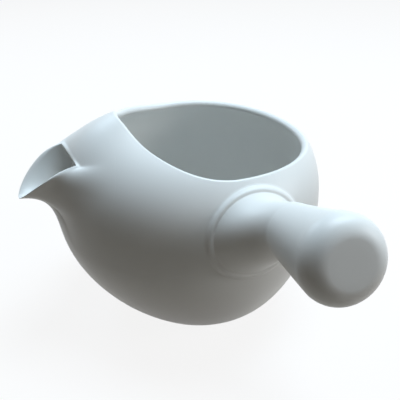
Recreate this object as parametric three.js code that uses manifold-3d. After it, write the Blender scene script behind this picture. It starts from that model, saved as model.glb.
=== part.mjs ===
// Side-handled teapot without its lid: a bowl that leans towards an open beak, with a leaf-shaped mouth, a
// pierced strainer in the wall behind the beak, and a hollow horn handle on a stepped round collar.
// Millimetres, +Z up. The beak points to -X and the handle to -Y. The origin is at the middle of the base.
// "turn" is a plan angle about the belly's axis, 0 at the beak and positive towards the handle.
import * as THREE from "three";
import Module from "manifold-3d";
import { mergeVertices } from "three/addons/utils/BufferGeometryUtils.js";

const wasm = await Module();
wasm.setup();

// Bowl: plan reach of the belly and the height of its widest ring, at the front, side and back
const bellyReach = { front: 60, side: 52, back: 47.8 };
const bellyHeight = { front: 43.6, side: 42.9, back: 52.2 };
// Shoulder above the belly: how high and how deep its arc would run, and how full it is
const shoulderRise = { front: 46.6, side: 40.2, back: 33.5 };
const shoulderDepth = { front: 49.1, side: 44.6, back: 50.6 };
const shoulderFullness = { front: 2.63, side: 2.54, back: 2.62 };
const crestSharpness = 10.7;
const undersideFullness = 1.63;
const undersideSweep = 0.83;
const baseRadius = 31.4;
const baseLead = 0.8;
const baseRound = 2.4;
const wall = 3.2;

// Leaf-shaped mouth in plan
const mouthFront = 34.6;
const mouthSide = 41.3;
const mouthBack = 42.8;
const mouthWidestX = 1;
const mouthBendX = -26.2;
const mouthFrontShare = 0.45;
const cornerSoftness = 0.012;

// Beak rim: a straight bridge edge behind, two lips that droop and close at the tip
const bridgeX = -51.9;
const bridgeSkew = 0.12;
const bridgeHalf = 12.9;
const bridgeZ = 75.6;
const bridgeShare = 0.28;
const tipX = -74.5;
const tipZ = 61.7;
const lipThick = 2.2;
const lipTaper = 1.15;
const lipDroop = 1.7;
const cornerWindow = 0.07;

// Where the beak's outer and inner skins sit on the bowl
const rootZ = 67.8;
const rootTurn = 34.5;
const rootUp = 17.6;
const rootDown = 28.9;
const rootHold = 1.31;
const rimHold = 1.5;
const deckCosine = 0.7;
const flankCosine = -0.6;
const deckSweep = 0.9;
const channelTop = 73.4;
const channelDeep = 20;
const channelEase = 0.3;

// The bowl's wall is set back behind the beak: how deep, between which heights, and how far past the
// bridge edge the set-back fades on the wall's outer and inner skin
const flatDepth = 4.5;
const flatFrom = 50;
const flatFull = 62;
const outerFade = { start: -1.5, end: -0.2 };
const innerFade = { start: -0.2, end: 8 };

// Passage through the bowl's wall, and the strainer set in it
const passageZ = 63;
const passageRadius = 5.4;
const strainerThick = 1.8;
const strainerHole = 1.8;
const strainerPitch = 3.2;
const holeCount = 6;
const jointGap = 0.3;

// Handle: where its axis meets the bowl, its direction, its bow, and the horn's radii along it
const handleRoot = { x: 7.4, y: -41.5, z: 56.5 };
const handleTurn = -4.1;
const handleTilt = 21.2;
const handleBow = { side: 3.4, down: -1.4 };
const handleLength = 63;
const neckAt = 27;
const waistAt = 21.2;
const waistRadius = 9.11;
const endRadius = 12.69;
const hornSwell = 1.21;
const gripWall = 2.6;
const endRound = 6.2;
const endDiscThick = 7;

// Collar: a flat pad with a raised outer bead, centred a little below and in front of the handle's axis
const collarOffset = { side: -4.9, down: 3 };
const collarRadius = 18;
const collarSquash = 0.9;
const collarShear = -0.06;
const beadWidth = 1.8;
const beadHeight = 1.5;
const padHeight = 1.25;
const footRadius = 16;
const footThick = 3.2;

const glaze = { color: 0xe6eaec, roughness: 0.55, metalness: 0 };
const radians = THREE.MathUtils.degToRad;
const tau = 2 * Math.PI;

function vector(x = 0, y = 0, z = 0) {
  return new THREE.Vector3(x, y, z);
}

function shares(count) {
  return Array.from({ length: count + 1 }, (_, i) => i / count);
}

function turnsOf(count) {
  return Array.from({ length: count }, (_, i) => (i / count) * tau);
}

function mix(a, b, t) {
  return a + (b - a) * t;
}

// Blends a front, side and back value round the bowl
function around(sizes, turn, sharpness = 2) {
  const front = Math.max(0, Math.cos(turn)) ** sharpness;
  const back = Math.max(0, -Math.cos(turn)) ** 2;
  return sizes.front * front + sizes.back * back + sizes.side * (1 - front - back);
}

// How far a superelliptic arc has drawn in at a share of its rise
function arcDepth(share, fullness) {
  return 1 - (1 - THREE.MathUtils.clamp(share, 0, 1) ** fullness) ** (1 / fullness);
}

function bellyRadius(turn) {
  const reach = Math.cos(turn) > 0 ? bellyReach.front : bellyReach.back;
  return 1 / Math.hypot(Math.cos(turn) / reach, Math.sin(turn) / bellyReach.side);
}

// The bowl's radius. Without a fade the set-back behind the beak is left out.
function bowlRadius(turn, z, fade = outerFade) {
  const belly = bellyRadius(turn);
  const height = around(bellyHeight, turn);
  if (z < height) {
    const foot = baseRadius + baseLead * Math.cos(turn);
    const drawn = arcDepth((1 - z / height) * undersideSweep, undersideFullness);
    return belly - ((belly - foot) * drawn) / arcDepth(undersideSweep, undersideFullness);
  }
  const rise = around(shoulderRise, turn, crestSharpness);
  const depth = around(shoulderDepth, turn, crestSharpness);
  const shoulder = belly - depth * arcDepth((z - height) / rise, around(shoulderFullness, turn));
  if (!fade || Math.cos(turn) <= 0) return shoulder;
  return shoulder - flatDepth * flatShare(Math.abs(shoulder * Math.sin(turn)), z, fade);
}

// How much of the set-back applies at a distance from the beak's middle plane and a height
function flatShare(across, z, { start, end }) {
  const side = 1 - THREE.MathUtils.smoothstep(across - bridgeHalf, start, end);
  const top = 1 - THREE.MathUtils.smoothstep(z - bridgeZ, start, end);
  return side * top * THREE.MathUtils.smoothstep(z, flatFrom, flatFull);
}

function bowlPoint(turn, z, lift = 0, fade = outerFade) {
  const radius = bowlRadius(turn, z, fade);
  const point = vector(-radius * Math.cos(turn), -radius * Math.sin(turn), z);
  return lift === 0 ? point : point.addScaledVector(bowlNormal(turn, z, fade), lift);
}

function bowlUp(turn, z, fade = outerFade) {
  const d = 0.01;
  return bowlPoint(turn, z + d, 0, fade).sub(bowlPoint(turn, z - d, 0, fade)).normalize();
}

function bowlNormal(turn, z, fade = outerFade) {
  const d = 0.001;
  const along = bowlPoint(turn + d, z, 0, fade).sub(bowlPoint(turn - d, z, 0, fade));
  return along.cross(bowlUp(turn, z, fade)).normalize();
}

// The mouth in plan: u is 0 at the corner behind the beak, 0.25 at the handle's side and 0.5 at the back
function sharpMouth(u) {
  const share = (u + 1) % 1;
  const side = share <= 0.5 ? -1 : 1;
  const half = 2 * Math.min(share, 1 - share);
  if (half < mouthFrontShare) {
    const t = half / mouthFrontShare;
    const x = (1 - t) ** 2 * -mouthFront + 2 * t * (1 - t) * mouthBendX + t * t * mouthWidestX;
    return vector(x, side * mouthSide * (2 * t - t * t));
  }
  const t = ((half - mouthFrontShare) / (1 - mouthFrontShare)) * (Math.PI / 2);
  return vector(mouthWidestX + mouthBack * Math.sin(t), side * mouthSide * Math.cos(t));
}

function mouthPlan(u) {
  const before = sharpMouth(u - cornerSoftness);
  const after = sharpMouth(u + cornerSoftness);
  return sharpMouth(u).multiplyScalar(2).add(before).add(after).divideScalar(4);
}

function mouthRim(u) {
  const plan = mouthPlan(u);
  const turn = Math.atan2(-plan.y, -plan.x);
  const fullness = around(shoulderFullness, turn);
  const depth = around(shoulderDepth, turn, crestSharpness);
  const left = Math.max(0.02, 1 - (bellyRadius(turn) - plan.length()) / depth);
  const rise = around(shoulderRise, turn, crestSharpness) * (1 - left ** fullness) ** (1 / fullness);
  return { turn, z: around(bellyHeight, turn) + rise };
}

function makeGeometry(points, faces) {
  const geometry = new THREE.BufferGeometry();
  geometry.setAttribute("position", new THREE.Float32BufferAttribute(points, 3));
  geometry.setIndex(faces);
  return geometry;
}

// Six times the volume inside the faces, negative where they face inwards
function facing(points, faces) {
  let sum = 0;
  for (let i = 0; i < faces.length; i += 3) {
    const [a, b, c] = [0, 1, 2].map((n) => vector().fromArray(points, faces[i + n] * 3));
    sum += a.dot(b.cross(c));
  }
  return sum;
}

// One closed skin from rings of points. A tube closes on its first ring; otherwise a middle point
// closes each end.
function skin(rings, isTube) {
  const count = rings[0].length;
  const points = rings.flat().flatMap((p) => [p.x, p.y, p.z]);
  const faces = [];
  const last = isTube ? rings.length : rings.length - 1;
  for (let i = 0; i < last; i++) {
    const below = i * count;
    const above = ((i + 1) % rings.length) * count;
    for (let k = 0; k < count; k++) {
      const l = (k + 1) % count;
      faces.push(below + k, below + l, above + l, below + k, above + l, above + k);
    }
  }
  if (!isTube) {
    [0, rings.length - 1].forEach((end) => {
      const middle = points.length / 3;
      const centre = rings[end].reduce((sum, p) => sum.add(p), vector()).divideScalar(count);
      points.push(centre.x, centre.y, centre.z);
      for (let k = 0; k < count; k++) {
        const pair = [end * count + ((k + 1) % count), end * count + k];
        faces.push(middle, ...(end === 0 ? pair : pair.reverse()));
      }
    });
  }
  if (facing(points, faces) < 0) faces.reverse();
  return makeGeometry(points, faces);
}

function toSolid(geometry) {
  const bare = geometry.clone();
  ["normal", "uv"].forEach((name) => bare.deleteAttribute(name));
  const merged = mergeVertices(bare, 1e-4);
  const vertProperties = new Float32Array(merged.attributes.position.array);
  const triVerts = new Uint32Array(merged.index.array);
  return new wasm.Manifold(new wasm.Mesh({ numProp: 3, vertProperties, triVerts }));
}

function toGeometry(solid) {
  const mesh = solid.getMesh();
  return makeGeometry(Array.from(mesh.vertProperties), Array.from(mesh.triVerts));
}

// Columns of points round the bowl, closer together behind the beak
const bowlColumns = shares(76).slice(1).map((u) => mouthRim(u - 0.07 * Math.sin(u * tau)));
const undersideShares = [0.09, 0.18, 0.3, 0.44, 0.6, 0.8, 1];
const shoulderShares = [0.16, 0.3, 0.42, 0.52, 0.61, 0.68, 0.74, 0.81, 0.88, 0.94, 1];

// The rings of the bowl's skin from the base to the mouth, moved out or in by a lift
function bowlRings(lift, under = undersideShares, fade = outerFade) {
  const belly = ({ turn }) => around(bellyHeight, turn);
  const low = under.map((share) => bowlColumns.map((column) =>
    bowlPoint(column.turn, belly(column) * share, lift)));
  const high = shoulderShares.map((share) => bowlColumns.map((column) =>
    bowlPoint(column.turn, mix(belly(column), column.z, share), lift, fade)));
  return [...low, ...high];
}

function baseRing(radius, z) {
  return bowlColumns.map(({ turn }) => {
    const reach = radius + baseLead * Math.cos(turn);
    return vector(-reach * Math.cos(turn), -reach * Math.sin(turn), z);
  });
}

// The filled bowl with its joint gap, which trims what seats on it
function bowlForm() {
  const filled = (lift) => toSolid(skin([baseRing(baseRadius, 0.5), ...bowlRings(lift)], false));
  return filled(jointGap).add(filled(0));
}

function makeBody() {
  const rings = [baseRing(baseRadius * 0.5, 0), baseRing(baseRadius - baseRound * 0.8, 0)];
  rings.push(baseRing(baseRadius + 0.4, baseRound * 0.45), ...bowlRings(0));
  [0.25, 0.5, 0.75].forEach((share) => rings.push(bowlColumns.map(({ turn, z }) => {
    const across = (Math.cos(share * Math.PI) - 1) * wall * 0.5;
    const crown = Math.sin(share * Math.PI) * wall * 0.36;
    return bowlPoint(turn, z, across).addScaledVector(bowlUp(turn, z), crown);
  })));
  rings.push(...bowlRings(-wall, undersideShares.slice(1), innerFade).reverse());
  rings.push(baseRing(baseRadius * 0.72, wall + 0.6), baseRing(baseRadius * 0.36, wall));
  return toGeometry(toSolid(skin(rings, false)).subtract(passageForm(0, 3, -wall - 3)));
}

// A plug that fills the passage, drawn in by a clearance, between two lifts off the bowl's skin
function passageForm(clearance, outer, inner) {
  const radius = passageRadius - clearance;
  const ring = (lift) => turnsOf(20).map((angle) => {
    const turn = (radius * Math.sin(angle)) / bowlRadius(0, passageZ);
    return bowlPoint(turn, passageZ + radius * Math.cos(angle), lift);
  });
  return toSolid(skin([ring(outer), ring(mix(outer, inner, 0.5)), ring(inner)], false));
}

function makeStrainer() {
  const face = (wall - strainerThick) / 2;
  const toAxis = new THREE.Quaternion().setFromUnitVectors(vector(0, 1, 0), bowlNormal(0, passageZ));
  const up = bowlUp(0, passageZ);
  const drillAt = (side, rise) => {
    const drill = new THREE.CylinderGeometry(strainerHole / 2, strainerHole / 2, wall * 3, 10);
    const centre = bowlPoint(0, passageZ, -wall / 2).addScaledVector(up, rise);
    return toSolid(drill.applyQuaternion(toAxis).translate(centre.x, centre.y + side, centre.z));
  };
  const drills = turnsOf(holeCount).map((angle) =>
    drillAt(strainerPitch * Math.cos(angle), strainerPitch * Math.sin(angle)));
  const plate = passageForm(jointGap, -face, -face - strainerThick);
  return toGeometry([drillAt(0, 0), ...drills].reduce((solid, drill) => solid.subtract(drill), plate));
}

function hermite(from, leave, to, arrive, t) {
  return from.clone().multiplyScalar(2 * t ** 3 - 3 * t ** 2 + 1)
    .addScaledVector(leave, t ** 3 - 2 * t ** 2 + t)
    .addScaledVector(to, 3 * t ** 2 - 2 * t ** 3)
    .addScaledVector(arrive, t ** 3 - t ** 2);
}

// How far across the bridge edge an angle is, from -1 to 1, and how far along a lip, up to a quarter turn
function lipShares(angle) {
  const around = (angle + tau) % tau;
  const half = Math.min(around, tau - around) / Math.PI;
  const side = around <= Math.PI ? -1 : 1;
  const sweep = Math.max(0, (half - bridgeShare) / (1 - bridgeShare)) * (Math.PI / 2);
  return { across: side * Math.min(half / bridgeShare, 1), sweep };
}

// The beak's rim line: angle 0 is the middle of the bridge edge and half a turn is the tip
function sharpRim(angle, inset) {
  const { across, sweep } = lipShares(angle);
  const width = across * (bridgeHalf - inset);
  const along = Math.sin(sweep) ** lipTaper;
  const x = mix(bridgeX - bridgeSkew * width, tipX + inset, along);
  return vector(x, width * Math.cos(sweep), mix(bridgeZ, tipZ, along ** lipDroop));
}

function rimPoint(angle, inset = 0) {
  const before = sharpRim(angle - cornerWindow, inset);
  const after = sharpRim(angle + cornerWindow, inset);
  return sharpRim(angle, inset).multiplyScalar(2).add(before).add(after).divideScalar(4);
}

// The way that the beak's skin runs where it reaches its rim
function rimRise(angle) {
  const top = Math.max(0, Math.cos(angle)) ** 2;
  const tip = Math.max(0, -Math.cos(angle)) ** 2;
  const flank = 1 - top - tip;
  const side = -Math.sign(Math.sin(angle));
  const forward = 0.75 * top + 0.25 * flank + 0.95 * tip;
  return vector(-forward, 0.26 * flank * side, 0.9 * flank - 0.66 * top + 0.05 * tip).normalize();
}

// 0 along the bridge edge and its deck, 1 along the lips
function flankShare(angle) {
  return THREE.MathUtils.smoothstep(-Math.cos(angle), -deckCosine, -flankCosine);
}

// Places on the bowl, as a turn and a height: round the beak's root, and where the channel ends
function rootPlace(angle, share = 1) {
  const rise = Math.cos(angle) > 0 ? rootUp : rootDown;
  return { turn: radians(rootTurn) * Math.sin(angle) * share, z: rootZ + rise * Math.cos(angle) * share };
}

function channelPlace(angle) {
  const { across, sweep } = lipShares(angle);
  const z = channelTop - channelDeep * Math.sin(sweep);
  const y = across * (bridgeHalf - lipThick - channelEase) * Math.cos(sweep);
  return { turn: -Math.asin(y / bowlRadius(0, z)), z };
}

function offBowl(turn, z) {
  return bowlPoint(turn, z, jointGap, null);
}

// The beak's outer skin. Its deck follows the bowl and lifts off it; its flanks and underside sweep out
// to the rim.
function beakOuter(angle, t) {
  const root = rootPlace(angle);
  const inward = rootPlace(angle, 0.97);
  const foot = offBowl(root.turn, root.z);
  const rim = rimPoint(angle).addScaledVector(rimRise(angle), -lipThick / 2);
  const span = foot.distanceTo(rim);
  const leave = offBowl(inward.turn, inward.z).sub(foot).setLength(span * rootHold);
  const swept = hermite(foot, leave, rim, rimRise(angle).multiplyScalar(span * rimHold), t);
  const turn = Math.atan2(-rim.y, -rim.x);
  const lift = THREE.MathUtils.smoothstep(t ** deckSweep, 0, 1);
  const lifted = offBowl(mix(root.turn, turn, t), mix(root.z, rim.z, t))
    .addScaledVector(rim.clone().sub(offBowl(turn, rim.z)), lift);
  return lifted.lerp(swept, flankShare(angle));
}

// The lips' inner edge. Under the bridge edge it is tucked straight below.
function innerEdge(angle) {
  const lips = rimRise(angle).multiplyScalar(-lipThick / 2).add(vector(0, 0, -lipThick / 5));
  return rimPoint(angle, lipThick).add(vector(-0.7, 0, -1.1).lerp(lips, flankShare(angle)));
}

// The channel's skin, from the lips' inner edge down to where it meets the bowl
function beakInner(angle, t) {
  const inner = innerEdge(angle);
  const { turn, z } = channelPlace(angle);
  const seat = bowlPoint(turn, z, jointGap);
  const depth = inner.distanceTo(seat);
  const fall = vector(0.3, 0, -0.95).lerp(rimRise(angle).negate(), flankShare(angle)).setLength(depth * 0.8);
  return hermite(inner, fall, seat, bowlNormal(turn, z).multiplyScalar(-depth * 0.5), t);
}

function makeSpout() {
  const ring = (place) => turnsOf(56).map(place);
  const sunk = ({ turn, z }) => bowlPoint(turn, z, -wall);
  const crown = (angle) =>
    rimPoint(angle, lipThick / 2).addScaledVector(vector(0, 0, -0.5), 1 - flankShare(angle));
  const above = (angle) => rimPoint(angle, lipThick).add(vector(0, 0, bridgeHalf));
  const form = [
    ring((angle) => sunk(rootPlace(angle))),
    ...shares(10).map((t) => ring((angle) => beakOuter(angle, t))),
    ring(crown),
    ring((angle) => beakInner(angle, 0)),
  ];
  const channel = [
    ring(above),
    ...shares(6).map((t) => ring((angle) => beakInner(angle, t))),
    ring((angle) => sunk(channelPlace(angle))),
  ];
  const beak = toSolid(skin(form, false)).subtract(toSolid(skin(channel, false))).subtract(bowlForm());
  const bySize = beak.decompose().sort((a, b) => b.volume() - a.volume());
  return toGeometry(bySize[0]);
}

// The handle's frame: along its axis, to its side, and down
const tilt = radians(handleTilt);
const swing = radians(handleTurn);
const level = Math.cos(tilt);
const handleAxis = vector(Math.sin(swing) * level, -Math.cos(swing) * level, Math.sin(tilt));
const handleSide = vector(Math.cos(swing), Math.sin(swing), 0);
const handleDown = handleSide.clone().cross(handleAxis);

function fromRoot(along, side, down) {
  return vector(handleRoot.x, handleRoot.y, handleRoot.z)
    .addScaledVector(handleAxis, along)
    .addScaledVector(handleSide, side)
    .addScaledVector(handleDown, down);
}

function hornPoint(angle, radius, along) {
  const bow = (1 - along / handleLength) ** 2;
  const side = handleBow.side * bow + radius * Math.cos(angle);
  return fromRoot(along, side, handleBow.down * bow + radius * Math.sin(angle));
}

// The horn's outer radius: a narrow waist, then a slow swell to the end
function hornRadius(along) {
  const share = Math.max(0, along - waistAt) / (handleLength - endRound - waistAt);
  return mix(waistRadius, endRadius, share ** hornSwell);
}

// A point over the bowl's skin, at a radius about the collar's middle and a height along the handle's axis
function collarPoint(angle, radius, height) {
  const side = collarOffset.side + radius * Math.cos(angle);
  const down = collarOffset.down + radius * (collarSquash * Math.sin(angle) + collarShear * Math.cos(angle));
  let inside = -25;
  let outside = 30;
  for (let i = 0; i < 32; i++) {
    const middle = (inside + outside) / 2;
    const p = fromRoot(middle, side, down);
    if (Math.hypot(p.x, p.y) > bowlRadius(Math.atan2(-p.y, -p.x), p.z)) outside = middle;
    else inside = middle;
  }
  return fromRoot(outside + height, side, down);
}

function makeCollar() {
  const bore = footRadius - footThick;
  const outline = [
    [collarRadius, jointGap], [collarRadius, beadHeight * 0.6],
    [collarRadius - beadWidth * 0.25, beadHeight * 0.95], [collarRadius - beadWidth * 0.6, beadHeight],
    [collarRadius - beadWidth, padHeight], [footRadius, padHeight],
    [bore, padHeight], [bore, jointGap], [mix(bore, collarRadius, 0.5), jointGap]];
  const sections = turnsOf(48).map((angle) =>
    outline.map(([radius, height]) => collarPoint(angle, radius, height)));
  return toGeometry(toSolid(skin(sections, true)).subtract(bowlForm()));
}

// The flare from the foot on the collar's pad to the horn's neck
function flarePoint(angle, inset, t) {
  const height = padHeight + jointGap;
  const foot = collarPoint(angle, footRadius - inset, height);
  const leave = collarPoint(angle, footRadius - inset - 1, height).sub(foot).setLength(1).add(handleAxis);
  const neck = hornPoint(angle, hornRadius(neckAt) - Math.min(inset, gripWall), neckAt);
  const arrive = handleAxis.clone().multiplyScalar(neckAt * 0.8);
  return hermite(foot, leave.multiplyScalar(neckAt * 0.45), neck, arrive, t);
}

function makeGrip() {
  const discSeat = handleLength - endDiscThick - jointGap;
  const sections = turnsOf(40).map((angle) => {
    const hornAt = (t, inset) => {
      const along = mix(neckAt, discSeat, t);
      return hornPoint(angle, hornRadius(along) - inset, along);
    };
    return [
      ...shares(8).map((t) => flarePoint(angle, 0, t)),
      ...shares(7).slice(1).map((t) => hornAt(t, 0)),
      ...shares(5).reverse().map((t) => hornAt(t, gripWall)),
      ...shares(5).reverse().slice(1).map((t) => flarePoint(angle, footThick, t)),
    ];
  });
  return skin(sections, true);
}

// The disc that closes the horn: a short skirt, a soft edge and a flat face
function makeEndDisc() {
  const start = handleLength - endDiscThick;
  const ring = (radius, along) => turnsOf(40).map((angle) => hornPoint(angle, radius, along));
  const rings = [ring(hornRadius(start) * 0.5, start), ring(hornRadius(start), start)];
  shares(5).forEach((t) => {
    const bend = (t * Math.PI) / 2;
    const radius = endRadius - endRound * (1 - Math.cos(bend));
    rings.push(ring(radius, handleLength - endRound * (1 - Math.sin(bend))));
  });
  return skin(rings, false);
}

const teapot = new THREE.Group();

// The belly's axis stands behind the middle of the base, which is the origin
function addPiece(name, geometry) {
  const mesh = new THREE.Mesh(geometry.translate(baseLead, 0, 0), new THREE.MeshStandardMaterial(glaze));
  mesh.name = name;
  teapot.add(mesh);
}

addPiece("bowl_body", makeBody());
addPiece("spout", makeSpout());
addPiece("strainer", makeStrainer());
addPiece("handle_collar", makeCollar());
addPiece("handle_grip", makeGrip());
addPiece("handle_end_disc", makeEndDisc());

export default teapot;
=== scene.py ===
import math

import bpy
import numpy as np
from bpy.props import FloatProperty, FloatVectorProperty, IntProperty, PointerProperty
from bpy.types import Operator, Panel, PropertyGroup
from mathutils import Matrix, Vector


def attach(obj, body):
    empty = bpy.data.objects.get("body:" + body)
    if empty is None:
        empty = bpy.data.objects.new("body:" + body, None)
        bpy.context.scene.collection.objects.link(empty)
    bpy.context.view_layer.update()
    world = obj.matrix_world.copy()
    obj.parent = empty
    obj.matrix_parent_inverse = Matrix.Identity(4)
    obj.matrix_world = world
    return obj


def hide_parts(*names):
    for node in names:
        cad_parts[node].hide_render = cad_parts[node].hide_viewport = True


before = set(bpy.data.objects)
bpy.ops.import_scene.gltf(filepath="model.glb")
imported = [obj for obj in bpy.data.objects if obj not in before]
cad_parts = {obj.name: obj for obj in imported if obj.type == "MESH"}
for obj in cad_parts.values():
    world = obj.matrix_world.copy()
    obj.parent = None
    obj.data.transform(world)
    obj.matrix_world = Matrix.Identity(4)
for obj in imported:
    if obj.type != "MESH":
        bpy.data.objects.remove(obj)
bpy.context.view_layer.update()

bl_info = {
    "name": "Side-handled teapot",
    "version": (1, 0, 0),
    "blender": (4, 5, 0),
    "location": "View3D > Sidebar > Teapot",
    "description": "Builds a lidless side-handled teapot in matte white glaze",
    "category": "Add Mesh",
}

MM = 0.001
TAU = 2 * math.pi
GLAZE = "matte_glaze"
# Edges that turn by more degrees than this stay sharp
CREASE = 40

# The pot's form in millimetres. Triples are front, side and back.
# A "turn" is an angle about the upright axis, 0 at the beak and positive to the handle.
BELLY_REACH = (60, 52, 47.8)
BELLY_HEIGHT = (43.6, 42.9, 52.2)
SHOULDER_RISE = (46.6, 40.2, 33.5)
SHOULDER_DEPTH = (49.1, 44.6, 50.6)
SHOULDER_FULLNESS = (2.63, 2.54, 2.62)
CREST_SHARPNESS = 10.7
UNDERSIDE_FULLNESS = 1.63
UNDERSIDE_SWEEP = 0.83
BASE_RADIUS = 31.4
BASE_LEAD = 0.8
BASE_ROUND = 2.4
FLOOR_RISE = 0.6

# The mouth's plan and its rim
MOUTH_FRONT = 34.6
MOUTH_SIDE = 41.3
MOUTH_BACK = 42.8
MOUTH_WIDEST_X = 1
MOUTH_BEND_X = -26.2
MOUTH_FRONT_SHARE = 0.45
CORNER_SOFTNESS = 0.012
RIM_CROWN = 0.36
RIM_LEAST = 0.02

# How finely the bowl's skin is divided: columns round it, crowded at the beak, and rows over each stretch
BOWL_COLUMNS = 272
COLUMN_CROWDING = 0.07
BASE_SHARES = (0.4, 0.8)
BASE_EDGE_ROWS = 6
UNDERSIDE_ROWS = 30
SHOULDER_ROWS = 64
RIM_ROWS = 14
INNER_SHOULDER_ROWS = 44
INNER_UNDERSIDE_ROWS = 22
INNER_LOWEST = 0.16
FLOOR_SHARES = (0.9, 0.6, 0.3)
# Small steps, in millimetres and radians, that find the directions of the bowl's skin
UP_STEP = 0.02
TURN_STEP = 0.001

# The beak: its bridge edge, tip and lips, its root on the bowl and its channel
BRIDGE_X = -51.9
BRIDGE_SKEW = 0.12
BRIDGE_HALF = 12.9
BRIDGE_Z = 75.6
BRIDGE_SHARE = 0.28
TIP_X = -74
TIP_Z = 61.7
LIP_TAPER = 1.15
LIP_DROOP = 1.7
CORNER_WINDOW = 0.07
NOSE_DROP = 1
NOSE_SHARPNESS = 8
ROOT_Z = 67.8
ROOT_TURN = 34.5
ROOT_UP = 17.6
ROOT_DOWN = 28.9
ROOT_HOLD = 1.31
RIM_HOLD = 1.5
DECK_COSINE = 0.7
FLANK_COSINE = -0.6
DECK_SWEEP = 0.9
CHANNEL_TOP = 73.4
CHANNEL_DEEP = 20
CHANNEL_EASE = 0.3
CHANNEL_HOLD = 0.8
CHANNEL_SINK = 0.5
# How far off the bowl's skin the beak's root starts, how deep hidden sides lie, and how softly the two merge
FEATHER = 0.012
BURIED = -0.5
MERGE_SOFTNESS = 0.5
# The directions in which the beak's skin meets its rim: at the bridge edge, along a lip and at the tip
BRIDGE_RISE = (-0.75, 0, -0.66)
LIP_RISE = (-0.25, 0.26, 0.9)
TIP_RISE = (-0.95, 0, 0.05)
# Where the inner edge lies under the bridge edge, and the direction in which the channel leaves it
BRIDGE_TUCK = np.array((-0.7, 0, -1.1))
BRIDGE_FALL = np.array((0.3, 0, -0.95))
INNER_LIP_DROP = 0.2
CROWN_REACH = 1.6
CROWN_TURN = 0.4
BEAK_COLUMNS = 288
BEAK_ROWS = 40
CROWN_ROWS = 12
CHANNEL_ROWS = 30
HIDDEN_ROWS = 5
# Shares just inside the beak's root and just below its rim, which give the skin's direction there
NEAR_ROOT = 0.97
NEAR_RIM = 0.98

# The wall behind the beak is set back: how deep, between which heights,
# and how far past the bridge edge it fades outside and inside
FLAT_DEPTH = 4.5
FLAT_FROM = 50
FLAT_FULL = 62
OUTER_FADE = (-1.5, -0.2)
INNER_FADE = (-0.2, 8)

# The round passage behind the beak, which holds the pierced plate
PASSAGE_Z = 63
PASSAGE_RADIUS = 5.4
PASSAGE_COLUMNS = 48
PASSAGE_ROWS = 4
PLUG_REACH = 2
JOINT_GAP = 0.3
# The drill that pierces the plate, with its length in metres
DRILL_SIDES = 20
DRILL_LENGTH = 0.012

# The handle: its axis, which bows near the root, then its horn, end disc and collar
HANDLE_ROOT = (7.4, -41.5, 56.5)
HANDLE_TURN = -4.1
HANDLE_TILT = 21.2
BOW_SIDE = 3.4
BOW_DOWN = -1.4
HANDLE_LENGTH = 63
NECK_AT = 27
WAIST_AT = 21.2
WAIST_RADIUS = 9.11
END_RADIUS = 12.69
HORN_SWELL = 1.21
END_ROUND = 6.2
END_DISC_THICK = 7
GRIP_WALL = 2.6
COLLAR_SIDE = -4.9
COLLAR_DOWN = 3
COLLAR_SQUASH = 0.9
COLLAR_SHEAR = -0.06
FOOT_RADIUS = 16
FOOT_THICK = 3.2
PAD_HEIGHT = 1.25
# The flare: the step that finds its direction, and how strongly it leaves its foot and arrives at the neck
FLARE_STEP = 1
FLARE_LEAVE = 0.45
FLARE_ARRIVE = 0.8
HANDLE_COLUMNS = 144
FLARE_ROWS = 24
GRIP_ROWS = 40
INNER_FLARE_ROWS = 8
DISC_BACK_SHARES = (0.5, 0.98)
DISC_SIDE_ROWS = 4
DISC_EDGE_ROWS = 16
DISC_FACE_SHARES = (0.6, 0.2)
# The lowest and highest place along the handle's axis where the bowl's skin is looked for, and the halvings
SKIN_SEARCH = (-25.0, 30.0)
SEARCH_STEPS = 30
# The collar's section from its soft foot over the bead to the horn: distance past its radius, and height
COLLAR_RADIUS = 18
COLLAR_STEPS = 4
COLLAR_LINE = ((1.2, 0.02), (0.75, 0.1), (0.4, 0.4), (0.15, 0.85), (-0.2, 1.25), (-0.7, 1.45), (-1.2, 1.4),
               (-1.6, 1.28), (-2, 1.25), (-2.6, 1.25), (-3.8, 1.25))
COLLAR_START = (1.6, BURIED)
COLLAR_CLOSE = ((-3.9, BURIED), (-1, BURIED * 2))

# The glaze's cloudy tone and fine grain, with the grain's depth in metres
GLAZE_SPECULAR = 0.4
CLOUD_SCALE = 40
GRAIN_SCALE = 900
GRAIN_STRENGTH = 0.05
GRAIN_DEPTH = 0.0001

# The stage in metres. The camera sees white paper, and the pot gets the faint warm light of a darker room.
FLOOR_SIZE = 6
FLOOR_BOUNCE = (0.24, 0.2, 0.16, 1)
FLOOR_ROUGHNESS = 0.9
PAPER = (0.9, 0.9, 0.9, 1)
WHITE = (1, 1, 1, 1)
ROOM_COLOUR = (1, 0.88, 0.7, 1)
ROOM_STRENGTH = 0.03
SENSOR_WIDTH = 36
LAMP_SIZE = 0.3
LAMP_TARGET = (0, 0, 0.04)
# Each lamp's name, place, watts and colour
LAMPS = (
    ("window", (0.39, 0.07, 0.73), 3.3, (0.62, 0.83, 1.0)),
    ("top_light", (0.14, 0.08, 0.82), 4.3, (0.76, 0.89, 1.0)),
    ("side_light", (0.65, -0.38, 0.31), 2.0, (0.96, 0.98, 1.0)),
    ("back_light", (-0.21, 0.58, 0.55), 1.8, (0.7, 0.86, 1.0)),
)


class PotSettings(PropertyGroup):
    """Thicknesses of the bowl's wall and rim and of the beak's lips."""
    wall: FloatProperty(name="Wall", description="Thickness of the bowl's wall and rim", default=0.0032,
                        unit="LENGTH")
    lip: FloatProperty(name="Lip", description="Thickness of the beak's lips", default=0.0022, unit="LENGTH")


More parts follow.
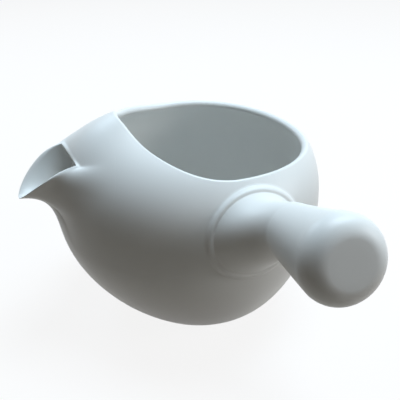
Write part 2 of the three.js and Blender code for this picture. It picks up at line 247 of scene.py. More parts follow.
class StrainerSettings(PropertyGroup):
    """The pierced plate behind the beak."""
    thickness: FloatProperty(name="Thickness", description="Thickness of the plate", default=0.0018,
                             unit="LENGTH")
    hole: FloatProperty(name="Hole", description="Diameter of a hole", default=0.0018, unit="LENGTH")
    pitch: FloatProperty(name="Pitch", description="Distance from the middle hole to the others",
                         default=0.0032, unit="LENGTH")
    count: IntProperty(name="Outer holes", description="Number of holes round the middle one", default=6,
                       min=3, max=8)


class GlazeSettings(PropertyGroup):
    """Colour and finish of the white glaze."""
    colour: FloatVectorProperty(name="Glaze colour", description="Base colour of the glaze", subtype="COLOR",
                                default=(0.76, 0.755, 0.73))
    roughness: FloatProperty(name="Roughness", description="How matte the glaze is", default=0.42,
                             min=0, max=1)
    cloudiness: FloatProperty(name="Cloudiness", description="Strength of the cloudy tone", default=0.02,
                              min=0, max=1)


class StageSettings(PropertyGroup):
    """Camera and floor."""
    azimuth: FloatProperty(name="Azimuth", description="Camera azimuth in degrees", default=-19.65)
    elevation: FloatProperty(name="Elevation", description="Camera elevation in degrees", default=30.94)
    roll: FloatProperty(name="Roll", description="Camera roll in degrees", default=-1.22)
    distance: FloatProperty(name="Distance", description="Camera distance", default=0.2335, unit="LENGTH")
    lens: FloatProperty(name="Lens", description="Focal length in millimetres", default=47.07)
    whiteness: FloatProperty(name="Whiteness", description="How far the floor's own white covers shadows",
                             default=0.88, min=0, max=1)
    look_at: FloatVectorProperty(name="Look at", description="The point that the camera faces",
                                 subtype="TRANSLATION", default=(0.0019, 0.0052, 0.04))


def mix(a, b, t):
    """A value or point at a share of the way from a to b."""
    return a + (b - a) * t


def smooth(value, low, high):
    """0 up to low, 1 from high on, and an even S between them."""
    t = np.clip((value - low) / (high - low), 0, 1)
    return t * t * (3 - 2 * t)


def unit(vectors):
    """The vectors at length 1."""
    return vectors / np.linalg.norm(vectors, axis=-1, keepdims=True)


def around(sizes, turn, sharpness=2):
    """Blends a front, side and back value round the bowl."""
    front = np.clip(np.cos(turn), 0, None) ** sharpness
    back = np.clip(-np.cos(turn), 0, None) ** 2
    return sizes[0] * front + sizes[2] * back + sizes[1] * (1 - front - back)


def arc_depth(share, fullness):
    """How far a rounded profile has drawn in, from 0 to 1, at a share of its height."""
    return 1 - (1 - np.clip(share, 0, 1) ** fullness) ** (1 / fullness)


def belly_radius(turn):
    """The widest radius, an ellipse that reaches further at the front."""
    reach = np.where(np.cos(turn) > 0, BELLY_REACH[0], BELLY_REACH[2])
    return 1 / np.hypot(np.cos(turn) / reach, np.sin(turn) / BELLY_REACH[1])


def flat_share(across, turn, z, fade):
    """How much of the set-back behind the beak applies."""
    side = 1 - smooth(across - BRIDGE_HALF, *fade)
    top = 1 - smooth(z - BRIDGE_Z, *fade)
    return np.where(np.cos(turn) > 0, side * top * smooth(z, FLAT_FROM, FLAT_FULL), 0)


def bowl_radius(turn, z, fade=OUTER_FADE):
    """The bowl's radius; without a fade the set-back behind the beak is left out."""
    belly = belly_radius(turn)
    height = around(BELLY_HEIGHT, turn)
    foot = BASE_RADIUS + BASE_LEAD * np.cos(turn)
    drawn = arc_depth((1 - z / height) * UNDERSIDE_SWEEP, UNDERSIDE_FULLNESS)
    low = belly - (belly - foot) * drawn / arc_depth(UNDERSIDE_SWEEP, UNDERSIDE_FULLNESS)
    rise = around(SHOULDER_RISE, turn, CREST_SHARPNESS)
    depth = around(SHOULDER_DEPTH, turn, CREST_SHARPNESS)
    high = belly - depth * arc_depth((z - height) / rise, around(SHOULDER_FULLNESS, turn))
    if fade:
        high = high - FLAT_DEPTH * flat_share(np.abs(high * np.sin(turn)), turn, z, fade)
    return np.where(z < height, low, high)


def plan_point(turn, radius, z):
    """A point at a turn, radius and height; the beak is towards -X and the handle towards -Y."""
    return np.stack(np.broadcast_arrays(-radius * np.cos(turn), -radius * np.sin(turn), z), -1)


def bowl_point(turn, z, lift=0.0, fade=OUTER_FADE):
    """A point at a lift off the bowl's outer skin."""
    point = plan_point(turn, bowl_radius(turn, z, fade), z)
    normal = bowl_normal(turn, z, fade)
    return point + normal * np.asarray(lift)[..., None]


def bowl_up(turn, z, fade=OUTER_FADE):
    """The direction straight up the bowl's skin."""
    above = plan_point(turn, bowl_radius(turn, z + UP_STEP, fade), z + UP_STEP)
    return unit(above - plan_point(turn, bowl_radius(turn, z - UP_STEP, fade), z - UP_STEP))


def bowl_normal(turn, z, fade=OUTER_FADE):
    """The direction straight out of the bowl's skin."""
    after = plan_point(turn + TURN_STEP, bowl_radius(turn + TURN_STEP, z, fade), z)
    before = plan_point(turn - TURN_STEP, bowl_radius(turn - TURN_STEP, z, fade), z)
    return unit(np.cross(after - before, bowl_up(turn, z, fade)))


def sharp_mouth(u):
    """The mouth's plan before its corner is softened: two curved sides and a round back."""
    share = np.mod(u, 1)
    side = np.where(share <= 0.5, -1.0, 1.0)
    half = 2 * np.minimum(share, 1 - share)
    t = np.clip(half / MOUTH_FRONT_SHARE, 0, 1)
    front_x = (1 - t) ** 2 * -MOUTH_FRONT + 2 * t * (1 - t) * MOUTH_BEND_X + t * t * MOUTH_WIDEST_X
    sweep = np.clip((half - MOUTH_FRONT_SHARE) / (1 - MOUTH_FRONT_SHARE), 0, 1) * math.pi / 2
    is_front = half < MOUTH_FRONT_SHARE
    x = np.where(is_front, front_x, MOUTH_WIDEST_X + MOUTH_BACK * np.sin(sweep))
    y = MOUTH_SIDE * np.where(is_front, 2 * t - t * t, np.cos(sweep))
    return np.stack([x, side * y], -1)


def mouth_rim(u):
    """Turn and height of the mouth's edge; u runs from 0 to 1 round it, from the corner behind the beak."""
    plan = (2 * sharp_mouth(u) + sharp_mouth(u - CORNER_SOFTNESS) + sharp_mouth(u + CORNER_SOFTNESS)) / 4
    turn = np.arctan2(-plan[:, 1], -plan[:, 0])
    depth = around(SHOULDER_DEPTH, turn, CREST_SHARPNESS)
    fullness = around(SHOULDER_FULLNESS, turn)
    left = np.maximum(RIM_LEAST, 1 - (belly_radius(turn) - np.hypot(plan[:, 0], plan[:, 1])) / depth)
    rise = around(SHOULDER_RISE, turn, CREST_SHARPNESS) * (1 - left ** fullness) ** (1 / fullness)
    return turn, around(BELLY_HEIGHT, turn) + rise


def next_round(index, around_count):
    """The next point in the same row, which closes round."""
    return index - index % around_count + (index + 1) % around_count


def grid_mesh(name, rows, closed=False, poles=(None, None)):
    """A mesh from rows of points that close round. Rows may close on the first; a pole closes an open end."""
    rows = np.asarray(rows, float)
    count, around_count = rows.shape[:2]
    points = rows.reshape(-1, 3)
    steps = count if closed else count - 1
    low = (np.arange(steps)[:, None] * around_count + np.arange(around_count)).ravel()
    high = ((np.arange(steps)[:, None] + 1) % count * around_count + np.arange(around_count)).ravel()
    faces = np.stack([low, next_round(low, around_count), next_round(high, around_count), high], -1).tolist()
    for pole, start in zip(poles, (0, (count - 1) * around_count)):
        if pole is None:
            continue
        middle = len(points)
        points = np.vstack([points, pole])
        ring = start + np.arange(around_count)
        after = np.roll(ring, -1)
        first, second = (after, ring) if start == 0 else (ring, after)
        faces += [[middle, a, b] for a, b in zip(first.tolist(), second.tolist())]
    mesh = bpy.data.meshes.new(name)
    placed = (points + (BASE_LEAD, 0, 0)) * MM
    mesh.from_pydata(placed.tolist(), [], faces)
    mesh.shade_smooth()
    return mesh


def signed_volume(mesh):
    """Six times the volume inside a mesh; it is negative where the faces point inwards."""
    mesh.calc_loop_triangles()
    points = np.empty(len(mesh.vertices) * 3)
    mesh.vertices.foreach_get("co", points)
    corners = np.empty(len(mesh.loop_triangles) * 3, dtype=np.int32)
    mesh.loop_triangles.foreach_get("vertices", corners)
    a, b, c = points.reshape(-1, 3)[corners].reshape(-1, 3, 3).transpose(1, 0, 2)
    return (a * np.cross(b, c)).sum()


def add_object(mesh, name):
    """An object for a closed mesh, with its faces turned outwards and its creases sharp."""
    piece = bpy.data.objects.new(name, mesh)
    bpy.context.collection.objects.link(piece)
    if signed_volume(mesh) < 0:
        mesh.flip_normals()
    mesh.set_sharp_from_angle(angle=math.radians(CREASE))
    return piece


def finish_piece(piece, node):
    """Glazes a piece, hides the CAD node that it stands for and hangs the piece on the root body."""
    if not piece.data.materials:
        piece.data.materials.append(glaze_material())
    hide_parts(node)
    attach(piece, "root")


def bake_modifiers(piece):
    """Replaces a piece's mesh and modifiers by the plain mesh that they make."""
    mesh = bpy.data.meshes.new_from_object(piece.evaluated_get(bpy.context.evaluated_depsgraph_get()))
    piece.modifiers.clear()
    piece.data = mesh
    mesh.shade_smooth()
    mesh.set_sharp_from_angle(angle=math.radians(CREASE))


def glaze_material():
    """Matte white glaze with a cloudy tone and a very fine bump."""
    if GLAZE in bpy.data.materials:
        return bpy.data.materials[GLAZE]
    settings = bpy.context.scene.teapot_glaze
    material = bpy.data.materials.new(GLAZE)
    material.use_nodes = True
    nodes, links = material.node_tree.nodes, material.node_tree.links
    shader = nodes["Principled BSDF"]
    shader.inputs["Roughness"].default_value = settings.roughness
    shader.inputs["Specular IOR Level"].default_value = GLAZE_SPECULAR
    place = nodes.new("ShaderNodeTexCoord")
    cloud = nodes.new("ShaderNodeTexNoise")
    cloud.inputs["Scale"].default_value = CLOUD_SCALE
    links.new(place.outputs["Object"], cloud.inputs["Vector"])
    tone = nodes.new("ShaderNodeMix")
    tone.data_type = "RGBA"
    base = Vector(settings.colour)
    tone.inputs["A"].default_value = (*base * (1 - settings.cloudiness), 1)
    tone.inputs["B"].default_value = (*base * (1 + settings.cloudiness), 1)
    links.new(cloud.outputs["Fac"], tone.inputs["Factor"])
    links.new(tone.outputs["Result"], shader.inputs["Base Color"])
    grain = nodes.new("ShaderNodeTexNoise")
    grain.inputs["Scale"].default_value = GRAIN_SCALE
    links.new(place.outputs["Object"], grain.inputs["Vector"])
    bump = nodes.new("ShaderNodeBump")
    bump.inputs["Strength"].default_value = GRAIN_STRENGTH
    bump.inputs["Distance"].default_value = GRAIN_DEPTH
    links.new(grain.outputs["Fac"], bump.inputs["Height"])
    links.new(bump.outputs["Normal"], shader.inputs["Normal"])
    return material


def base_ring(turn, radius, z):
    """A ring about the base's middle, which lies a little towards the beak."""
    return plan_point(turn, radius + BASE_LEAD * np.cos(turn), z)


def bowl_rows(wall):
    """The bowl's skin from the middle of the base over the rim to the middle of the floor."""
    u = np.arange(1, BOWL_COLUMNS + 1) / BOWL_COLUMNS
    turn, top = mouth_rim(u - COLUMN_CROWDING * np.sin(u * TAU))
    belly = around(BELLY_HEIGHT, turn)
    edge = plan_point(turn, bowl_radius(turn, BASE_ROUND), BASE_ROUND)
    inner = base_ring(turn, BASE_RADIUS - BASE_ROUND, 0)
    corner = base_ring(turn, BASE_RADIUS, 0)
    rows = [base_ring(turn, BASE_RADIUS * share, 0) for share in BASE_SHARES]
    for t in np.linspace(0, 1, BASE_EDGE_ROWS):
        rows.append(inner * (1 - t) ** 2 + corner * 2 * t * (1 - t) + edge * t * t)
    rows += [bowl_point(turn, mix(BASE_ROUND, belly, t)) for t in np.linspace(0, 1, UNDERSIDE_ROWS)[1:]]
    outside = np.sin(np.linspace(0, math.pi / 2, SHOULDER_ROWS))
    rows += [bowl_point(turn, mix(belly, top, t)) for t in outside[1:]]
    up = bowl_up(turn, top)
    for bend in np.linspace(0, math.pi, RIM_ROWS)[1:-1]:
        across = bowl_point(turn, top, wall * (math.cos(bend) - 1) / 2)
        rows.append(across + up * math.sin(bend) * wall * RIM_CROWN)
    inside = 1 - np.cos(np.linspace(0, math.pi / 2, INNER_SHOULDER_ROWS))
    rows += [bowl_point(turn, mix(top, belly, t), -wall, INNER_FADE) for t in inside]
    deeper = np.linspace(1, INNER_LOWEST, INNER_UNDERSIDE_ROWS)
    rows += [bowl_point(turn, belly * t, -wall) for t in deeper[1:]]
    rows += [base_ring(turn, BASE_RADIUS * share, wall + FLOOR_RISE * share) for share in FLOOR_SHARES]
    return rows


def passage_mesh(clearance, outer, inner):
    """A plug that fills the passage through the bowl's wall, between two lifts off its skin."""
    angle = np.arange(PASSAGE_COLUMNS) / PASSAGE_COLUMNS * TAU
    radius = PASSAGE_RADIUS - clearance
    turn = radius * np.sin(angle) / bowl_radius(0.0, PASSAGE_Z)
    z = PASSAGE_Z + radius * np.cos(angle)
    rows = [bowl_point(turn, z, lift) for lift in np.linspace(outer, inner, PASSAGE_ROWS)]
    return grid_mesh("passage", rows, poles=(rows[0].mean(0), rows[-1].mean(0)))


class TEAPOT_OT_bowl(Operator):
    """Make the bowl, with its mouth, rim, base and passage"""
    bl_idname = "teapot.bowl"
    bl_label = "Make the bowl"

    def execute(self, context):
        wall = context.scene.teapot_pot.wall / MM
        rows = bowl_rows(wall)
        mesh = grid_mesh("bowl", rows, poles=((0, 0, 0), (0, 0, wall)))
        piece = add_object(mesh, "bowl")
        plug = add_object(passage_mesh(0, PLUG_REACH, -wall - PLUG_REACH), "plug")
        cut = piece.modifiers.new("passage", "BOOLEAN")
        cut.object = plug
        cut.solver = "EXACT"
        bake_modifiers(piece)
        bpy.data.objects.remove(plug)
        finish_piece(piece, "bowl_body")
        return {"FINISHED"}


def lip_shares(angle):
    """How far across the bridge edge an angle is, from -1 to 1, and how far along a lip, up to pi / 2."""
    angle = np.mod(angle, TAU)
    half = np.minimum(angle, TAU - angle) / math.pi
    side = np.where(angle <= math.pi, -1.0, 1.0)
    sweep = np.clip((half - BRIDGE_SHARE) / (1 - BRIDGE_SHARE), 0, 1) * math.pi / 2
    return side * np.minimum(half / BRIDGE_SHARE, 1), sweep


def sharp_rim(angle, inset=0.0):
    """The beak's rim line: angle 0 is the middle of the bridge edge and half a turn is the tip."""
    across, sweep = lip_shares(angle)
    width = across * (BRIDGE_HALF - inset)
    along = np.sin(sweep) ** LIP_TAPER
    x = mix(BRIDGE_X - BRIDGE_SKEW * width, TIP_X + inset, along)
    return np.stack([x, width * np.cos(sweep), mix(BRIDGE_Z, TIP_Z, along ** LIP_DROOP)], -1)


def rim_point(angle, inset=0.0):
    """The rim line with its corners softened."""
    before = sharp_rim(angle - CORNER_WINDOW, inset)
    after = sharp_rim(angle + CORNER_WINDOW, inset)
    return (2 * sharp_rim(angle, inset) + before + after) / 4


def rim_rise(angle):
    """The direction in which the beak's outer skin meets its rim."""
    top = np.clip(np.cos(angle), 0, None) ** 2
    tip = np.clip(-np.cos(angle), 0, None) ** 2
    flank = 1 - top - tip
    side = -np.sign(np.sin(angle))
    x, z = (BRIDGE_RISE[axis] * top + LIP_RISE[axis] * flank + TIP_RISE[axis] * tip for axis in (0, 2))
    return unit(np.stack([x, LIP_RISE[1] * flank * side, z], -1))


def flank_share(angle):
    """0 along the bridge edge and its deck, 1 along the lips."""
    return smooth(-np.cos(angle), -DECK_COSINE, -FLANK_COSINE)[:, None]


def hermite(start, leave, end, arrive, t):
    """A point on the cubic curve that leaves its start and arrives at its end in the given directions."""
    return (start * (2 * t ** 3 - 3 * t ** 2 + 1) + leave * (t ** 3 - 2 * t ** 2 + t)
            + end * (3 * t ** 2 - 2 * t ** 3) + arrive * (t ** 3 - t ** 2))


def root_place(angle, share=1.0):
    """Turn and height of the beak's root on the bowl, an oval that is longer below."""
    rise = np.where(np.cos(angle) > 0, ROOT_UP, ROOT_DOWN)
    return math.radians(ROOT_TURN) * np.sin(angle) * share, ROOT_Z + rise * np.cos(angle) * share


def channel_place(angle, lip):
    """Where the channel ends on the bowl: straight under the bridge edge and round below."""
    across, sweep = lip_shares(angle)
    z = CHANNEL_TOP - CHANNEL_DEEP * np.sin(sweep)
    y = across * (BRIDGE_HALF - lip - CHANNEL_EASE) * np.cos(sweep)
    return -np.arcsin(y / bowl_radius(0.0, z)), z


def length(vectors):
    """The vectors' lengths, as a column."""
    return np.linalg.norm(vectors, axis=-1, keepdims=True)


def beak_outer(angle, t, lip):
    """The beak's outer skin at a share of the way from its root to its lips' outer edge."""
    root = root_place(angle)
    foot = bowl_point(*root, FEATHER, None)
    nose = np.clip(-np.cos(angle), 0, None) ** NOSE_SHARPNESS
    rim = rim_point(angle) - rim_rise(angle) * lip / 2 - nose[:, None] * (0, 0, NOSE_DROP)
    span = length(rim - foot)
    leave = unit(bowl_point(*root_place(angle, NEAR_ROOT), FEATHER, None) - foot) * span * ROOT_HOLD
    swept = hermite(foot, leave, rim, rim_rise(angle) * span * RIM_HOLD, t)
    under = (np.arctan2(-rim[:, 1], -rim[:, 0]), rim[:, 2])
    between = (mix(root[0], under[0], t), mix(root[1], under[1], t))
    rise = (rim - bowl_point(*under, FEATHER, None)) * smooth(t ** DECK_SWEEP, 0, 1)
    lifted = bowl_point(*between, FEATHER, None) + rise
    point = mix(lifted, swept, flank_share(angle))
    turn = np.arctan2(-point[:, 1], -point[:, 0])
    radius = np.hypot(point[:, 0], point[:, 1])
    lift = radius - bowl_radius(turn, point[:, 2], None)
    kept = (lift + np.sqrt(lift ** 2 + (MERGE_SOFTNESS * t) ** 2)) / 2 + FEATHER * (1 - t)
    return plan_point(turn, radius - lift + np.where(t > 0, kept, FEATHER), point[:, 2])


def beak_rows(lip):
    """The beak's skin from its root over its rim, down the channel and back under the bowl's skin."""
    angle = np.arange(BEAK_COLUMNS) / BEAK_COLUMNS * TAU
    outer = [beak_outer(angle, t, lip) for t in np.linspace(0, 1, BEAK_ROWS)]
    rise = unit(outer[-1] - beak_outer(angle, NEAR_RIM, lip))
    flank = flank_share(angle)
    inner_lip = -rim_rise(angle) * lip / 2 - (0, 0, lip * INNER_LIP_DROP)
    inner = rim_point(angle, lip) + mix(BRIDGE_TUCK, inner_lip, flank)
    fall = unit(mix(BRIDGE_FALL, -rim_rise(angle), flank))
    straight = (rise * fall).sum(-1, keepdims=True)
    reach = length(inner - outer[-1]) * (CROWN_REACH - CROWN_TURN * straight)
    over, down = rise * reach, fall * reach
    crown = [hermite(outer[-1], over, inner, down, t) for t in np.linspace(0, 1, CROWN_ROWS)[1:]]
    place = channel_place(angle, lip)
    seat = bowl_point(*place, BURIED)
    depth = length(inner - seat)
    start = fall * depth * CHANNEL_HOLD
    sink = -bowl_normal(*place) * depth * CHANNEL_SINK
    channel = [hermite(inner, start, seat, sink, t) for t in np.linspace(0, 1, CHANNEL_ROWS)[1:]]
    root = root_place(angle)
    hidden = []
    for t in np.linspace(0, 1, HIDDEN_ROWS)[1:]:
        hidden.append(bowl_point(mix(place[0], root[0], t), mix(place[1], root[1], t), BURIED))
    return outer + crown + channel + hidden


class TEAPOT_OT_beak(Operator):
    """Make the open beak, with its bridge edge, lips and channel"""
    bl_idname = "teapot.beak"
    bl_label = "Make the beak"

    def execute(self, context):
        rows = beak_rows(context.scene.teapot_pot.lip / MM)
        finish_piece(add_object(grid_mesh("beak", rows, closed=True), "beak"), "spout")
        return {"FINISHED"}


def add_input(tree, name, kind, value=None):
    """A named input of a node tree, with its default."""
    socket = tree.interface.new_socket(name, in_out="INPUT", socket_type=kind)
    if value is not None:
        socket.default_value = value
    return socket


def strainer_tree(settings, centre, rotation):
    """Geometry nodes that pierce the plate with a ring of holes round a middle one."""
    tree = bpy.data.node_groups.new("Pierced plate", "GeometryNodeTree")
    add_input(tree, "Plate", "NodeSocketGeometry")
    count = add_input(tree, "Outer holes", "NodeSocketInt", settings.count)
    pitch = add_input(tree, "Pitch", "NodeSocketFloat", settings.pitch)
    hole = add_input(tree, "Hole radius", "NodeSocketFloat", settings.hole / 2)
    tree.interface.new_socket("Pierced", in_out="OUTPUT", socket_type="NodeSocketGeometry")
    new, link = tree.nodes.new, tree.links.new
    source, result = new("NodeGroupInput"), new("NodeGroupOutput")
    ring = new("GeometryNodeMeshCircle")
    link(source.outputs[count.name], ring.inputs["Vertices"])
    link(source.outputs[pitch.name], ring.inputs["Radius"])
    middle = new("GeometryNodePoints")
    spots = new("GeometryNodeJoinGeometry")
    link(ring.outputs["Mesh"], spots.inputs["Geometry"])
    to_vertices = new("GeometryNodePointsToVertices")
    link(middle.outputs["Points"], to_vertices.inputs["Points"])
    link(to_vertices.outputs["Mesh"], spots.inputs["Geometry"])
    drill = new("GeometryNodeMeshCylinder")
    drill.inputs["Vertices"].default_value = DRILL_SIDES
    drill.inputs["Depth"].default_value = DRILL_LENGTH
    link(source.outputs[hole.name], drill.inputs["Radius"])
    placed = new("GeometryNodeInstanceOnPoints")
    link(spots.outputs["Geometry"], placed.inputs["Points"])
    link(drill.outputs["Mesh"], placed.inputs["Instance"])
    drills = new("GeometryNodeRealizeInstances")
    link(placed.outputs["Instances"], drills.inputs["Geometry"])
    move = new("GeometryNodeTransform")
    move.inputs["Translation"].default_value = centre
    move.inputs["Rotation"].default_value = rotation
    link(drills.outputs["Geometry"], move.inputs["Geometry"])
    cut = new("GeometryNodeMeshBoolean")
    link(source.outputs["Plate"], cut.inputs["Mesh 1"])
    link(move.outputs["Geometry"], cut.inputs["Mesh 2"])
    real = new("GeometryNodeRealizeInstances")
    link(cut.outputs["Mesh"], real.inputs["Geometry"])
    glazed = new("GeometryNodeSetMaterial")
    glazed.inputs["Material"].default_value = glaze_material()
    link(real.outputs["Geometry"], glazed.inputs["Geometry"])
    link(glazed.outputs["Geometry"], result.inputs["Pierced"])
    return tree


class TEAPOT_OT_strainer(Operator):
    """Make the pierced plate in the wall behind the beak"""
    bl_idname = "teapot.strainer"
    bl_label = "Make the strainer"

    def execute(self, context):
        settings = context.scene.teapot_strainer
        wall = context.scene.teapot_pot.wall / MM
        thickness = settings.thickness / MM
        face = (wall - thickness) / 2
        piece = add_object(passage_mesh(JOINT_GAP, -face, -face - thickness), "strainer")
        turn, z = np.zeros(1), np.full(1, float(PASSAGE_Z))
        centre = (Vector(bowl_point(turn, z, -wall / 2)[0]) + Vector((BASE_LEAD, 0, 0))) * MM
        out = Vector(bowl_normal(turn, z)[0])
        piece.data.materials.append(glaze_material())
        holes = piece.modifiers.new("holes", "NODES")
        holes.node_group = strainer_tree(settings, centre, out.to_track_quat("Z", "Y").to_euler())
        bake_modifiers(piece)
        finish_piece(piece, "strainer")
        return {"FINISHED"}


def handle_directions():
    """Unit vectors along the handle, to its side and downwards."""
    turn, tilt = math.radians(HANDLE_TURN), math.radians(HANDLE_TILT)
    along = np.array([math.sin(turn) * math.cos(tilt), -math.cos(turn) * math.cos(tilt), math.sin(tilt)])
    side = np.array([math.cos(turn), math.sin(turn), 0.0])
    return along, side, np.cross(side, along)


HANDLE_AXIS, HANDLE_SIDE, HANDLE_DOWN = handle_directions()


def from_root(along, side, down):
    """Points at distances from the handle's root along, beside and below its axis."""
    along, side, down = (np.asarray(value)[..., None] for value in np.broadcast_arrays(along, side, down))
    return np.array(HANDLE_ROOT) + along * HANDLE_AXIS + side * HANDLE_SIDE + down * HANDLE_DOWN


def horn_point(angle, radius, along):
    """A point of the horn, whose axis bows near its root."""
    bow = (1 - along / HANDLE_LENGTH) ** 2
    return from_root(along, BOW_SIDE * bow + radius * np.cos(angle), BOW_DOWN * bow + radius * np.sin(angle))


def horn_radius(along):
    """The horn's radius: even up to its waist, then swelling to its end."""
    share = max(0.0, along - WAIST_AT) / (HANDLE_LENGTH - END_ROUND - WAIST_AT)
    return mix(WAIST_RADIUS, END_RADIUS, share ** HORN_SWELL)


def collar_point(angle, radius, height):
    """A point over the bowl's skin, at a radius about the collar's middle and a height along its axis."""
    side = COLLAR_SIDE + radius * np.cos(angle)
    down = COLLAR_DOWN + radius * (COLLAR_SQUASH * np.sin(angle) + COLLAR_SHEAR * np.cos(angle))
    inside, outside = (np.full(len(angle), reach) for reach in SKIN_SEARCH)
    for _ in range(SEARCH_STEPS):
        middle = (inside + outside) / 2
        x, y, z = from_root(middle, side, down).T
        is_out = np.hypot(x, y) > bowl_radius(np.arctan2(-y, -x), z)
        outside = np.where(is_out, middle, outside)
        inside = np.where(is_out, inside, middle)
    return from_root(outside + height, side, down)


def smooth_line(points, steps):
    """A smooth line through points, by Catmull-Rom."""
    points = np.array(points, float)
    padded = np.vstack([2 * points[0] - points[1], points, 2 * points[-1] - points[-2]])
    line = []
    for a, b, c, d in zip(padded, padded[1:], padded[2:], padded[3:]):
        line += [hermite(b, (c - a) / 2, c, (d - b) / 2, t) for t in np.arange(steps) / steps]
    return line + [points[-1]]


def flare_point(angle, inset, t):
    """A point of the flare, from its foot on the collar's pad to the horn's neck."""
    foot = collar_point(angle, FOOT_RADIUS - inset, PAD_HEIGHT)
    leave = unit(collar_point(angle, FOOT_RADIUS - inset - FLARE_STEP, PAD_HEIGHT) - foot) + HANDLE_AXIS
    neck = horn_point(angle, horn_radius(NECK_AT) - min(inset, GRIP_WALL), NECK_AT)
    return hermite(foot, leave * NECK_AT * FLARE_LEAVE, neck, HANDLE_AXIS * NECK_AT * FLARE_ARRIVE, t)


def collar_rows(angle):
    """The collar's skin round its section: foot, bead, pad and the hidden side in the bowl's wall."""
    line = [COLLAR_START, *smooth_line(COLLAR_LINE, COLLAR_STEPS), *COLLAR_CLOSE]
    return [collar_point(angle, COLLAR_RADIUS + past, height) for past, height in line]


def grip_rows(angle, end):
    """The horn's skin from its flared foot to the end disc, and back inside."""
    spots = np.linspace(NECK_AT, end, GRIP_ROWS)
    rows = [flare_point(angle, 0, t) for t in np.linspace(0, 1, FLARE_ROWS)]
    rows += [horn_point(angle, horn_radius(along), along) for along in spots[1:]]
    rows += [horn_point(angle, horn_radius(along) - GRIP_WALL, along) for along in spots[::-2]]
    rows += [flare_point(angle, FOOT_THICK, t) for t in np.linspace(1, 0, INNER_FLARE_ROWS)[1:]]
    return rows


def disc_rows(angle, start):
    """The end disc's skin from its back over its soft edge to its face."""
    rows = [horn_point(angle, horn_radius(start) * share, start) for share in DISC_BACK_SHARES]
    side = np.linspace(start, HANDLE_LENGTH - END_ROUND, DISC_SIDE_ROWS)
    rows += [horn_point(angle, horn_radius(along), along) for along in side]
    for bend in np.linspace(0, math.pi / 2, DISC_EDGE_ROWS)[1:]:
        radius = END_RADIUS - END_ROUND * (1 - math.cos(bend))
        rows.append(horn_point(angle, radius, HANDLE_LENGTH - END_ROUND * (1 - math.sin(bend))))
    face = END_RADIUS - END_ROUND
    rows += [horn_point(angle, face * share, HANDLE_LENGTH) for share in DISC_FACE_SHARES]
    return rows


class TEAPOT_OT_handle(Operator):
    """Make the collar, the hollow horn and the disc that closes it"""
    bl_idname = "teapot.handle"
    bl_label = "Make the handle"

    def execute(self, context):
        angle = np.arange(HANDLE_COLUMNS) / HANDLE_COLUMNS * TAU
        disc_start = HANDLE_LENGTH - END_DISC_THICK
        collar = grid_mesh("collar", collar_rows(angle), closed=True)
        finish_piece(add_object(collar, "collar"), "handle_collar")
        grip = grid_mesh("grip", grip_rows(angle, disc_start), closed=True)
        finish_piece(add_object(grip, "grip"), "handle_grip")
        rows = disc_rows(angle, disc_start)
        disc = grid_mesh("end_disc", rows, poles=(rows[0].mean(0), rows[-1].mean(0)))
        finish_piece(add_object(disc, "end_disc"), "handle_end_disc")
        return {"FINISHED"}


def show_to_camera(tree, hidden, seen):
    """Lets the camera, mirrors and glass see one surface, while all other light comes from another."""
    nodes, links = tree.nodes, tree.links
    rays = nodes.new("ShaderNodeLightPath")
    any_of = rays.outputs["Is Camera Ray"]
    for kind in ("Is Glossy Ray", "Is Transmission Ray"):
        either = nodes.new("ShaderNodeMath")
        either.operation = "MAXIMUM"
        links.new(any_of, either.inputs[0])
        links.new(rays.outputs[kind], either.inputs[1])
        any_of = either.outputs[0]
    both = nodes.new("ShaderNodeMixShader")
    links.new(any_of, both.inputs["Fac"])
    links.new(hidden.outputs[0], both.inputs[1])
    links.new(seen.outputs[0], both.inputs[2])
    output = next(node for node in nodes if node.type in ("OUTPUT_MATERIAL", "OUTPUT_WORLD"))
    links.new(both.outputs[0], output.inputs["Surface"])


def floor_material(settings):
    """White paper that still takes the pot's shadow, and throws little light back on the pot."""
    material = bpy.data.materials.new("pale_floor")
    material.use_nodes = True
    nodes, links = material.node_tree.nodes, material.node_tree.links
    dark = nodes["Principled BSDF"]
    dark.inputs["Base Color"].default_value = FLOOR_BOUNCE
    dark.inputs["Roughness"].default_value = FLOOR_ROUGHNESS
    paper = nodes.new("ShaderNodeBsdfDiffuse")
    paper.inputs["Color"].default_value = PAPER
    white = nodes.new("ShaderNodeEmission")
    seen = nodes.new("ShaderNodeMixShader")
    seen.inputs["Fac"].default_value = settings.whiteness
    links.new(paper.outputs[0], seen.inputs[1])
    links.new(white.outputs[0], seen.inputs[2])
    show_to_camera(material.node_tree, dark, seen)
    return material


def make_floor(context, settings):
    """The floor, a wide plane of white paper."""
    bpy.ops.mesh.primitive_plane_add(size=FLOOR_SIZE)
    floor = context.object
    floor.name = "floor"
    floor.data.materials.append(floor_material(settings))


def make_world(context):
    """A white backdrop for the camera, and the room's faint light for the pot."""
    world = bpy.data.worlds.new("studio")
    context.scene.world = world
    world.use_nodes = True
    room = world.node_tree.nodes["Background"]
    room.inputs["Color"].default_value = ROOM_COLOUR
    room.inputs["Strength"].default_value = ROOM_STRENGTH
    white = world.node_tree.nodes.new("ShaderNodeBackground")
    white.inputs["Color"].default_value = WHITE
    show_to_camera(world.node_tree, room, white)


def make_lamp(context, name, spot, power, colour):
    """A soft square lamp that faces the pot."""
    light = bpy.data.lights.new(name, "AREA")
    light.energy = power
    light.size = LAMP_SIZE
    light.color = colour
    lamp = bpy.data.objects.new(name, light)
    lamp.location = spot
    lamp.rotation_euler = (Vector(LAMP_TARGET) - lamp.location).to_track_quat("-Z", "Y").to_euler()
    context.collection.objects.link(lamp)


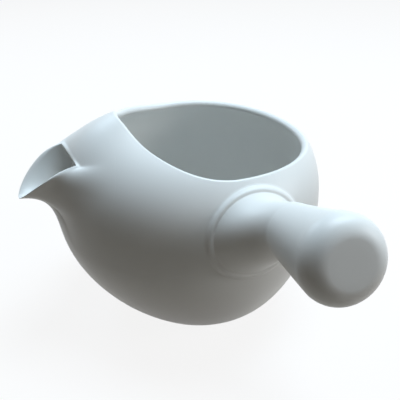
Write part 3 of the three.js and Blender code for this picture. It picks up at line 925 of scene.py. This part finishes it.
def make_camera(context, settings):
    """The camera, on a sphere about the point that it faces."""
    azimuth, elevation = math.radians(settings.azimuth), math.radians(settings.elevation)
    back = Vector((math.sin(azimuth) * math.cos(elevation), -math.cos(azimuth) * math.cos(elevation),
                   math.sin(elevation)))
    right = Vector((math.cos(azimuth), math.sin(azimuth), 0))
    level = Matrix((right, back.cross(right), back)).transposed()
    camera = bpy.data.objects.new("camera", bpy.data.cameras.new("camera"))
    camera.data.lens = settings.lens
    camera.data.sensor_width = SENSOR_WIDTH
    camera.data.sensor_fit = "HORIZONTAL"
    camera.location = Vector(settings.look_at) + back * settings.distance
    camera.rotation_euler = (level @ Matrix.Rotation(math.radians(settings.roll), 3, "Z")).to_euler()
    context.collection.objects.link(camera)
    context.scene.camera = camera


class TEAPOT_OT_stage(Operator):
    """Make the floor, the lamps and the camera"""
    bl_idname = "teapot.stage"
    bl_label = "Set the stage"

    def execute(self, context):
        settings = context.scene.teapot_stage
        make_floor(context, settings)
        make_world(context)
        for lamp in LAMPS:
            make_lamp(context, *lamp)
        make_camera(context, settings)
        context.scene.view_settings.view_transform = "Standard"
        return {"FINISHED"}


class TEAPOT_PT_panel(Panel):
    """Lists the steps that build the pot"""
    bl_label = "Teapot"
    bl_idname = "TEAPOT_PT_panel"
    bl_space_type = "VIEW_3D"
    bl_region_type = "UI"
    bl_category = "Teapot"

    def draw(self, context):
        for step in STEPS:
            self.layout.operator(step.bl_idname)


SETTINGS = {"teapot_pot": PotSettings, "teapot_strainer": StrainerSettings, "teapot_glaze": GlazeSettings,
            "teapot_stage": StageSettings}
STEPS = (TEAPOT_OT_stage, TEAPOT_OT_bowl, TEAPOT_OT_beak, TEAPOT_OT_strainer, TEAPOT_OT_handle)
CLASSES = (*SETTINGS.values(), *STEPS, TEAPOT_PT_panel)


def register():
    for entry in CLASSES:
        bpy.utils.register_class(entry)
    for name, group in SETTINGS.items():
        setattr(bpy.types.Scene, name, PointerProperty(type=group))


def unregister():
    for name in SETTINGS:
        delattr(bpy.types.Scene, name)
    for entry in reversed(CLASSES):
        bpy.utils.unregister_class(entry)


def main():
    register()
    bpy.ops.teapot.stage()
    bpy.ops.teapot.bowl()
    bpy.ops.teapot.beak()
    bpy.ops.teapot.strainer()
    bpy.ops.teapot.handle()


if __name__ == "__main__":
    main()
